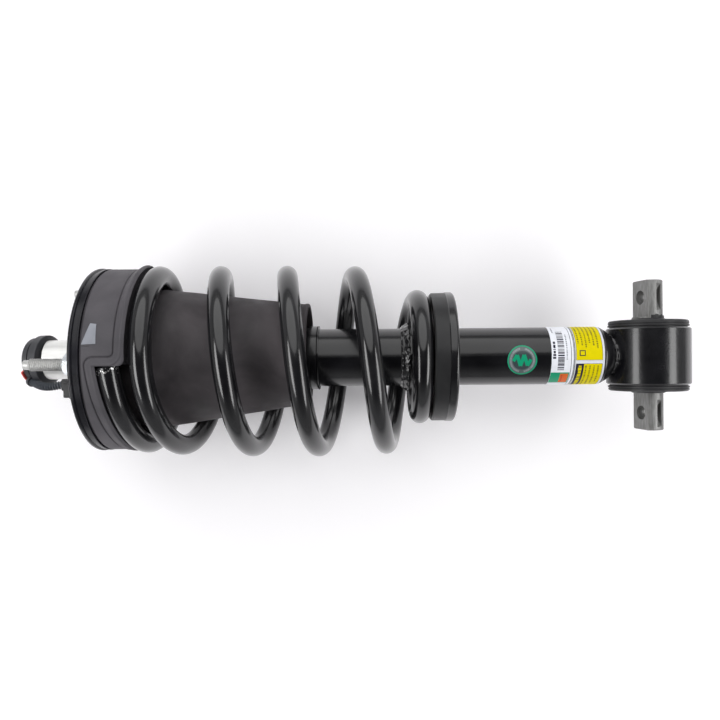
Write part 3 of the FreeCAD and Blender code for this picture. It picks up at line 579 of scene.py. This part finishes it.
def make_isolator():
    """Rubber seat whose ribbed edge climbs one turn and drops back in a rounded step."""
    angles = []
    angle = COIL_START
    while angle < COIL_START + 360.0 - 8:
        angles.append(angle)
        angle += 2.0
    while angle < COIL_START + 359.9:
        angles.append(angle)
        angle += 0.25
    angles.append(COIL_START + 359.98)
    verts = []
    columns = 0
    for angle in angles:
        seat = seat_height(angle)
        to_step = math.radians(COIL_START + 360.0 - angle) * SIDE_R
        if to_step < CORNER_R:
            seat -= CORNER_R - math.sqrt(CORNER_R**2 - (CORNER_R - to_step) ** 2)
        top = seat - 0.25
        heights = [9.9 + (top - 9.9) * i / 80 for i in range(81)]
        points = [(x, SIDE_R + side_bulge(x, angle)) for x in heights]
        tip = points[-1][1]
        points += [(seat + 0.8, tip - 0.3), (seat + 1.4, tip - 1.0), (seat + 1.2, tip - 2.0)]
        points += [(seat + 0.2, tip - 3.0), (seat, tip - 4.2), (seat, 64.6), (seat + 0.6, 63.4)]
        points += [(seat + 4.0, 63.0), (seat + 4.0, 61.6), (7.9, 60.0), (7.9, SIDE_R - 1.3)]
        points += [(9.3, SIDE_R - 1.1), (9.7, SIDE_R - 0.5)]
        columns = len(points)
        verts += [around(x * MM, r * MM, angle) for x, r in points]
    faces = grid_faces(len(angles), columns, close_columns=True)
    last = (len(angles) - 1) * columns
    faces.append(tuple(range(columns)))
    faces.append(tuple(last + k for k in range(columns)))
    floor = lathe([(6.2, 36.4), (6.2, 75.8), (7.85, 75.8), (7.85, 36.4)])
    verts, faces = join([(verts, faces), floor])
    piece = new_piece("isolator_body", verts, faces, "isolator_rubber", "top_mount", 50)
    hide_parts("upper_isolator")
    # A thin strip of dark plug plastic on the isolator's side under the grey patch's lower edge:
    # painted shadow.
    shadow_strip = [[(x, a) for a in (82.5, 82.8)] for x in (9.9, 15.9)]
    line = slab(shadow_strip, on_isolator, -0.3, 0.12)
    new_piece("isolator_painted_shadow_line", *line, "plug_plastic", "top_mount", slot="isolator_rubber")


def on_isolator(x, angle, height):
    """A point on the isolator's side, from millimetres along and degrees round."""
    return around(x * MM, (SIDE_R + height) * MM, angle)


# ---- dust tube ---------------------------------------------------------------------------

DUST_END_X = 181.4
DUST_SHIFT = 3.2


def make_dust_tube():
    """Thin rubber tube with a rolled end lip, faint creases and a slight lean."""
    slope = (44.0 - 63.2) / (DUST_END_X - 36.0)
    steps = [54.0 + (DUST_END_X - 4.5 - 54.0) * i / 40 for i in range(41)]
    outer = [(x, 63.2 + slope * (x - 36.0)) for x in steps]
    inner = [(x, r - 2.4) for x, r in reversed(outer)]
    lip = [(DUST_END_X - 3.6, 44.7), (DUST_END_X - 2.6, 45.0), (DUST_END_X - 0.7, 44.9)]
    lip += [(DUST_END_X, 44.2), (DUST_END_X, 42.4)]
    lip += [(DUST_END_X - 0.6, 41.7), (DUST_END_X - 3.6, 41.8)]
    top = [(28.0, 56.8), (10.7, 56.8), (10.7, 34.0), (8.3, 34.0)]
    top += [(8.3, 59.2), (28.0, 59.2), (40.0, 60.0)]
    outline = outer + lip + inner + top

    def crease(x, radius, angle):
        lean = DUST_SHIFT * max(0.0, x - 28.0) / (DUST_END_X - 28.0)
        if x < 56 or x > DUST_END_X - 4:
            return x, radius, lean
        broad = ripple(angle + 0.25 * x, 5, 5, 2)
        fine = ripple(angle * 2 - 1.5 * x, 8, 4, 3)
        wave = 0.22 * broad + 0.10 * fine
        fade = smooth_step((x - 56) / 20) * smooth_step((DUST_END_X - 4 - x) / 10)
        return x, radius + wave * fade, lean

    verts, faces = lathe(outline, 144, crease)
    piece = new_piece("dust_tube_skirt", verts, faces, "dust_rubber", "top_mount", 50)
    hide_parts("dust_tube")


# ---- studs -------------------------------------------------------------------------------

STUD_CIRCLE_R = 68.5
THREAD_R = 5.0
THREAD_DEPTH = 0.85
THREAD_PITCH = 1.5
THREAD_START_R = 3.9
FIRST_STUD_ANGLE = 93.5


def make_studs():
    """Studs with a rolled M10 thread, a dog point and a round head under the plate."""
    sides = 40
    rows = [(-40.0, 0.01), (-40.0, 2.9), (-39.7, 3.5), (-39.2, 3.8), (-36.1, 3.8)]
    top = -35.8
    foot = -5.8
    count = int(round((foot - top) / (THREAD_PITCH / 12)))
    steps = [top + (foot - top) * i / count for i in range(count + 1)]
    below = [(foot, 4.4), (0.0, 4.4), (0.0, 5.0), (3.0, 5.0), (3.0, 8.5), (6.0, 8.5), (6.0, 0.01)]
    parts = []
    for index in range(3):
        turn = math.radians(FIRST_STUD_ANGLE + 120.0 * index)
        y, z = STUD_CIRCLE_R * math.cos(turn), STUD_CIRCLE_R * math.sin(turn)
        verts = []
        for x, radius in rows:
            verts += stud_ring(x, [radius] * sides, y, z)
        for x in steps:
            radii = []
            for k in range(sides):
                phase = (x / THREAD_PITCH - k / sides) % 1.0
                tooth = abs(2 * phase - 1)
                tooth = min(1.0, max(0.0, 1.25 * tooth - 0.125))
                start = smooth_step((x - top) / 1.6)
                full = THREAD_R - THREAD_DEPTH + THREAD_DEPTH * tooth
                radii.append(THREAD_START_R + (full - THREAD_START_R) * start)
            verts += stud_ring(x, radii, y, z)
        for x, radius in below:
            verts += stud_ring(x, [radius] * sides, y, z)
        rings = len(verts) // sides
        faces = grid_faces(rings, sides, close_columns=True)
        faces.append(tuple(range(sides)))
        faces.append(tuple((rings - 1) * sides + k for k in range(sides)))
        parts.append((verts, faces))
    verts, faces = join(parts)
    piece = new_piece("threaded_studs", verts, faces, "zinc_stud", "top_mount", 50)
    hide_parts("mount_studs")


def stud_ring(x, radii, y, z):
    """A ring of points round a stud's own axis."""
    count = len(radii)
    ring = []
    for k, radius in enumerate(radii):
        turn = 2 * math.pi * k / count
        place = Vector((x, y + radius * math.cos(turn), z + radius * math.sin(turn)))
        ring.append(place * MM)
    return ring


# ---- connector ---------------------------------------------------------------------------

CONDUIT_R = 3.6
RIB_PITCH = 2.2
RIB_DEPTH = 1.7
CONDUIT_ROUTE = (
    (-63.5, -18.2, 8.0),
    (-54.5, -21.9, 14.4),
    (-45.5, -23.6, 18.0),
    (-36.5, -22.7, 18.9),
    (-28.5, -21.2, 18.4),
)


def spline_points(route, samples=40):
    """Points along the NURBS curve of a route given in millimetres."""
    data = bpy.data.curves.new("route", "CURVE")
    data.dimensions = "3D"
    data.resolution_u = samples
    spline = data.splines.new("NURBS")
    spline.points.add(len(route) - 1)
    for point, place in zip(spline.points, route):
        point.co = (place[0] * MM, place[1] * MM, place[2] * MM, 1)
    spline.order_u = 3
    spline.use_endpoint_u = True
    holder = bpy.data.objects.new("route", data)
    SCENE.collection.objects.link(holder)
    mesh = bpy.data.meshes.new_from_object(holder)
    points = [vert.co.copy() for vert in mesh.vertices]
    bpy.data.objects.remove(holder)
    bpy.data.curves.remove(data)
    bpy.data.meshes.remove(mesh)
    return points


def even_points(points, step):
    """Points a step apart along a line of points, with their distances."""
    lengths = [0.0]
    for a, b in zip(points, points[1:]):
        lengths.append(lengths[-1] + (b - a).length)
    count = int(lengths[-1] / step)
    out = []
    at = 0
    for i in range(count + 1):
        want = lengths[-1] * i / count
        while at < len(lengths) - 2 and lengths[at + 1] < want:
            at += 1
        share = (want - lengths[at]) / max(1e-9, lengths[at + 1] - lengths[at])
        out.append((points[at].lerp(points[at + 1], min(1.0, max(0.0, share))), want))
    return out


def make_conduit():
    """Corrugated tube along the conduit's route."""
    pitch = RIB_PITCH * MM
    line = even_points(spline_points(CONDUIT_ROUTE), pitch / 10)
    radii = []
    for _, distance in line:
        wave = 0.5 + 0.5 * math.cos(2 * math.pi * distance / pitch)
        radii.append((CONDUIT_R - RIB_DEPTH + RIB_DEPTH * smooth_step(1.6 * wave - 0.5)) * MM)
    verts, faces = sweep([point for point, _ in line], radii, 28)
    piece = new_piece("corrugated_conduit", verts, faces, "conduit_plastic", "top_mount", 60)
    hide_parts("conduit")


# ---- weld beads --------------------------------------------------------------------------

TUBE_R = 25.4
SEAT_WELD_X = 265.2
EYE_X = 482.1
EYE_R = 35.6
EYE_NECK_R = 15.8
PIN_R = 13.35


def make_welds():
    """Irregular beads at the lower seat's neck and round the eye's neck."""
    seat_x = SEAT_WELD_X
    arc = [(seat_x + 3.4, 27.0), (seat_x - 3.9, 25.2)]
    for i in range(15):
        turn = math.pi * i / 14
        x = seat_x - 3.9 * math.cos(turn)
        arc.append((x, TUBE_R + max(0.0, x - 262.6) * 0.62 + 1.9 * math.sin(turn)))

    def lumps(x, radius, angle):
        scale = min(1.0, max(0.0, radius - 25.3) / 2.0)
        wave = ripple(angle, 21, 14, 7)
        cross = ripple(angle + 30 * (x - seat_x), 27, 12, 11)
        beads = abs(math.sin(math.radians(angle * 8.5 + 60 * wave + 12 * (x - seat_x))))
        rise = 0.35 * wave + 0.5 * cross + 0.7 * beads - 0.5
        return x + 0.9 * wave * scale, radius + rise * scale, 0.0

    verts, faces = lathe(arc, 480, lumps)
    seat = new_piece("seat_weld_bead", verts, faces, "weld_paint", "damper", 70)
    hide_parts("seat_weld")

    sides, count = 14, 360
    verts = []
    for i in range(count):
        angle = 360.0 * i / count
        turn = math.radians(angle)
        z = EYE_NECK_R * math.sin(turn)
        x = EYE_X - math.sqrt(EYE_R**2 - z**2)
        wave = ripple(angle, 33, 12, 5)
        beads = abs(math.sin(math.radians(angle * 7 + 50 * wave)))
        size = 2.3 + 0.5 * wave + 0.5 * beads
        for k in range(sides):
            lean = 2 * math.pi * k / sides
            radius = EYE_NECK_R + size * math.cos(lean)
            verts.append(around((x - 0.4 + size * math.sin(lean)) * MM, radius * MM, angle))
    faces = grid_faces(count, sides, close_rows=True, close_columns=True)
    eye = new_piece("eye_weld_bead", verts, faces, "weld_paint", "damper", 70)
    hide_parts("eye_weld")


def make_pin_flash():
    """Ragged rubber left by the mould: a skirt round the pin and a smear on its round side."""
    sides = 120
    centre = Vector((EYE_X * MM, 0, 0))
    parts = []
    for end, base in ((-1, 32.2), (1, 31.2)):
        rows = [(base, 13.45), (base, 15.4), (base + 0.5, 14.6)]
        rows += [(base + 0.9, 13.9), (base + 1.2, 13.45)]
        verts = []
        for y, radius in rows:
            for k in range(sides):
                angle = 360.0 * k / sides
                rag = 0.2 * ripple(angle, 40 + end, 8, 4) if radius > 13.5 else 0.0
                turn = math.radians(angle)
                reach = (radius + rag) * MM
                height = end * (y + rag) * MM
                point = Vector((reach * math.cos(turn), height, reach * math.sin(turn)))
                verts.append(centre + point)
        parts.append((verts, grid_faces(len(rows), sides, close_rows=True, close_columns=True)))
    verts, faces = join(parts)
    new_piece("pin_rubber_flash", verts, faces, "bush_rubber", "damper", 60)

    def on_pin(y, angle, height):
        turn = math.radians(angle)
        reach = (PIN_R + height) * MM
        return Vector((EYE_X * MM + reach * math.cos(turn), y * MM, reach * math.sin(turn)))

    grid = []
    for step in range(6):
        row = []
        for k in range(61):
            angle = 32.0 + 68.0 * k / 60
            top = 35.0 + 0.9 * ripple(angle, 51, 9, 3) + 0.5 * ripple(3 * angle, 52, 9, 3)
            row.append((31.4 + (top - 31.4) * step / 5, angle))
        grid.append(row)
    verts, faces = slab(grid, on_pin, -0.1, 0.3)
    new_piece("pin_rubber_smear", verts, faces, "bush_rubber", "bar_pin", 60, slot="bush_rubber")


# ---- printed labels and sticker ------------------------------------------------------------

FILM_TOP = 0.2
STICKER_X = 364.6
STICKER_R = 12.75
STICKER_LEAN = 8.7


def on_tube(x, angle, height):
    """A point from millimetres along the tube and degrees round it."""
    return around(x * MM, (TUBE_R + FILM_TOP + height) * MM, angle)


def block(x0, x1, angle0, angle1):
    """A printed block as a grid of (height, angle) points."""
    count = max(1, int(math.ceil(abs(angle1 - angle0) / 3.0)))
    angles = [angle0 + (angle1 - angle0) * i / count for i in range(count + 1)]
    return [[(x, angle) for angle in angles] for x in (x0, x1)]


def printed(name, grids, place, material, slot, high=0.03):
    """One piece of printed slabs on the film, at a height above it."""
    verts, faces = join([slab(grid, place, -0.05, high) for grid in grids])
    return new_piece(name, verts, faces, material, "damper", 60, slot)


def dash_row(x, width, angle0, angle1, seed, longest=5.0):
    """A row of short dashes that stands for a line of print."""
    chance = random.Random(seed)
    grids = []
    angle = angle0
    while angle < angle1:
        length = chance.uniform(1.6, longest)
        inset = chance.uniform(0, 0.25) * width
        grids.append(block(x + inset, x + width - inset * 0.5, angle, min(angle + length, angle1)))
        angle += length + chance.uniform(1.0, 1.8)
    return grids


def make_labels():
    """Plain printing: bars and dash rows in place of words, a hollow square and blocks."""
    chance = random.Random(3)
    bars = []
    angle = 36.0
    while angle < 120.0:
        width = chance.choice((0.9, 0.9, 1.7, 2.8))
        bars.append(block(395.2, 400.8, angle, angle + width))
        angle += width + chance.choice((0.9, 1.2, 2.0))
    bars += dash_row(390.9, 2.6, 62, 96, 5, 7.0)
    printed("white_label_bars", bars, on_tube, "ink_black", "label_white")
    small = dash_row(402.4, 1.0, 45, 99, 6, 3.0) + dash_row(392.0, 1.2, 22, 40, 7, 3.0)
    printed("white_label_rows", small, on_tube, "ink_grey", "label_white")
    rules = [block(406.4, 406.8, -18, 198), block(408.6, 409.1, -18, 198)]
    printed("white_label_rules", rules, on_tube, "ink_black", "label_white")
    green = [block(389.9, 406.0, 124.5, 156)]
    printed("white_label_green", green, on_tube, "ink_green", "label_white", 0.02)
    orange = [block(398.2, 405.2, 127.5, 154)]
    printed("white_label_orange", orange, on_tube, "ink_orange", "label_white", 0.05)
    red = dash_row(399.2, 1.4, 131, 150, 9, 4.0)
    printed("white_label_dashes", red, on_tube, "ink_red", "label_white", 0.07)

    border = [block(410.0, 435.2, -20, 200)]
    printed("yellow_label_border", border, on_tube, "ink_white", "label_yellow", 0.01)
    yellow = [block(411.0, 433.2, 2, 98.6), block(411.0, 433.2, 106.4, 190)]
    printed("yellow_blocks", yellow, on_tube, "label_yellow", "label_yellow", 0.02)
    frames = [block(410.7, 411.0, 2, 98.9), block(433.2, 433.5, 2, 98.9)]
    frames += [block(411.0, 433.2, 98.6, 99.2)]
    frames += [block(410.7, 411.0, 106.1, 190), block(433.2, 433.5, 106.1, 190)]
    frames += [block(411.0, 433.2, 105.8, 106.4)]
    frames += [block(411.0, 417.6, 106.4, 190)]
    printed("yellow_frames", frames, on_tube, "ink_black", "label_yellow")
    header = dash_row(412.6, 3.4, 110, 186, 14, 7.0)
    printed("yellow_header_dashes", header, on_tube, "label_yellow", "label_yellow", 0.05)
    rows = []
    for index in range(6):
        x = 412.2 + index * 3.3
        rows += dash_row(x, 1.5, 8, 66 + 5 * (index % 3), 50 + index, 4.5)
    for index in range(4):
        x = 418.6 + index * 3.5
        rows += dash_row(x, 1.5, 110, 170 - 6 * index, 70 + index, 4.5)
    printed("yellow_rows", rows, on_tube, "ink_olive", "label_yellow", 0.05)
    square = [block(413.6, 414.4, 80, 91), block(418.0, 418.8, 80, 91)]
    square += [block(414.4, 418.0, 80, 81.8), block(414.4, 418.0, 89.2, 91)]
    printed("yellow_mark", square, on_tube, "ink_black", "label_yellow", 0.06)


def on_sticker(u, v, height):
    """A point on the sticker from millimetres along and across it."""
    angle = 90.0 + STICKER_LEAN + math.degrees(math.asin(v / (TUBE_R + FILM_TOP)))
    return around((STICKER_X + u) * MM, (TUBE_R + FILM_TOP + height) * MM, angle)


def annulus(inner, outer, start=0.0, sweep_angle=359.9, columns=96, rows=2):
    """A flat ring as a grid of (u, v) points."""
    grid = []
    for i in range(rows):
        radius = inner + (outer - inner) * i / (rows - 1)
        row = []
        for k in range(columns + 1):
            turn = math.radians(start + sweep_angle * k / columns)
            row.append((radius * math.cos(turn), radius * math.sin(turn)))
        grid.append(row)
    return grid


def stroke(start, end, width, steps=8):
    """A straight printed stroke as a grid of (u, v) points."""
    along_u, along_v = end[0] - start[0], end[1] - start[1]
    length = math.hypot(along_u, along_v)
    side_u, side_v = -along_v / length * width / 2, along_u / length * width / 2
    rows = []
    for sign in (-1, 1):
        row = []
        for i in range(steps + 1):
            share = i / steps
            u = start[0] + along_u * share + sign * side_u
            v = start[1] + along_v * share + sign * side_v
            row.append((u, v))
        rows.append(row)
    return rows


def make_sticker():
    """Glossy round sticker: green edge, speckled ring and a plain zigzag like a spring."""
    printed("sticker_edge", [annulus(11.6, 12.7)], on_sticker, "ink_green", "sticker")
    printed("sticker_band", [annulus(8.2, 11.6)], on_sticker, "ink_mid", "sticker", 0.02)
    ticks = []
    chance = random.Random(17)
    turn = 0.0
    while turn < 356:
        wide = chance.uniform(1.5, 4.0)
        if not 78 < turn < 102 and not 258 < turn < 282:
            ticks.append(annulus(9.1, 10.8, turn, wide, 2))
        turn += wide + chance.uniform(1.6, 2.6)
    printed("sticker_ticks", ticks, on_sticker, "ink_pale", "sticker", 0.04)
    printed("sticker_field", [annulus(0.2, 8.2, rows=6)], on_sticker, "ink_slate", "sticker", 0.02)
    corners = [(-7.6, 0.6), (-4.4, -4.6), (-1.4, 4.8), (1.6, -4.8), (4.6, 4.6), (7.4, -0.8)]
    strokes = [stroke(a, b, 2.9) for a, b in zip(corners, corners[1:])]
    printed("sticker_zigzag", strokes, on_sticker, "ink_green", "sticker", 0.05)


# ---- finishes of the carried-over nodes --------------------------------------------------


def dress_nodes():
    """Give every CAD node its own slot's material."""
    slot_of = {s["node"]: s["material_slot"] for s in frame["record"]["subparts"]}
    for name, node in NODES.items():
        for holder in node.material_slots:
            holder.material = M[slot_of[name]]


make_camera()
make_world()
make_floor()
make_lamp("left_box", (-0.75, -0.34, 0.90), (0.15, -0.34, 0), (1.40, 0.50), 10.0)
make_lamp("right_box", (1.20, -0.34, 0.72), (0.25, -0.34, 0), (1.40, 0.42), 8.0)
make_lamp("far_box", (0.20, 1.28, 1.34), (0.2, 0, 0), (3.0, 2.50), 27)
dress_nodes()
make_spring()
make_end_flecks()
make_isolator()
make_dust_tube()
make_studs()
make_conduit()
make_welds()
make_pin_flash()
make_labels()
make_sticker()

SCENE.view_settings.view_transform = "Standard"
